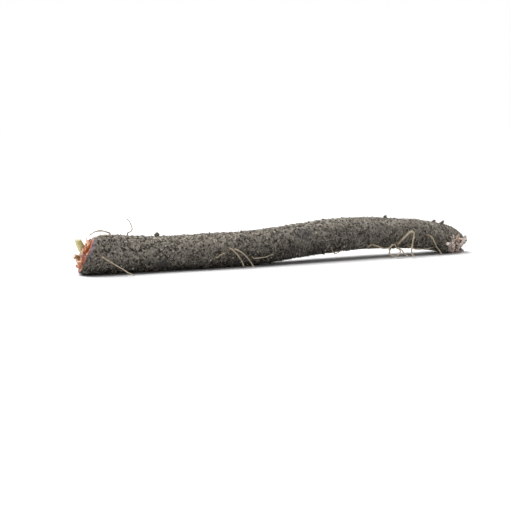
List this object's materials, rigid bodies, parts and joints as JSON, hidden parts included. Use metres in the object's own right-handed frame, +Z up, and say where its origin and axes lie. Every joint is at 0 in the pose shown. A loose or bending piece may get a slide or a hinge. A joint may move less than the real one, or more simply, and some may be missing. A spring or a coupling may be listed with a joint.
{
  "type": "black salsify root",
  "caption": "Whole black salsify root with soil-dusted dark skin, cut leaf bases at the crown, side rootlets and a broken, fibrous tip, lying on its side.",
  "frame": {"origin": "on the surface that the root lies on, under the middle of its bounding box", "axes": "+X along the root from the crown to the tip, +Z up"},
  "size_m": [0.3096, 0.0526, 0.0362],
  "materials": {
    "root_skin": "dark corky skin under dry soil",
    "leaf_base": "cut leaf bases stained by dried latex",
    "leaf_stalk": "pale fresh leaf stalk, cut across",
    "dry_fibre": "dry strands of old leaf sheath",
    "rootlet_skin": "thin straw-coloured rootlet",
    "torn_flesh": "torn pale flesh with fibres",
    "soil": "clod of dry dark soil"
  },
  "bodies": {
    "root": {"crown_fibre_01": "dry_fibre", "crown_fibre_02": "dry_fibre", "crown_fibre_03": "dry_fibre", "leaf_base_01": "leaf_base", "leaf_base_02": "leaf_base", "leaf_base_03": "leaf_base", "leaf_base_04": "leaf_base", "leaf_base_05": "leaf_base", "leaf_stalk_01": "leaf_stalk", "leaf_stalk_02": "leaf_stalk", "root_stub_01": "torn_flesh", "root_stub_02": "torn_flesh", "root_stub_03": "torn_flesh", "side_rootlet_01": "rootlet_skin", "side_rootlet_02": "rootlet_skin", "side_rootlet_03": "rootlet_skin", "side_rootlet_04": "rootlet_skin", "side_rootlet_05": "rootlet_skin", "side_rootlet_06": "rootlet_skin", "side_rootlet_07": "rootlet_skin", "side_rootlet_08": "rootlet_skin", "side_rootlet_09": "rootlet_skin", "side_rootlet_10": "rootlet_skin", "side_rootlet_11": "rootlet_skin", "side_rootlet_12": "rootlet_skin", "side_rootlet_13": "rootlet_skin", "side_rootlet_14": "rootlet_skin", "side_rootlet_15": "rootlet_skin", "soil_clod_01": "soil", "soil_clod_02": "soil", "soil_clod_03": "soil", "soil_clod_04": "soil", "soil_clod_05": "soil", "taproot": "root_skin", "tip_strand_01": "torn_flesh", "tip_strand_02": "torn_flesh", "tip_strand_03": "torn_flesh"}
  },
  "joints": []
}
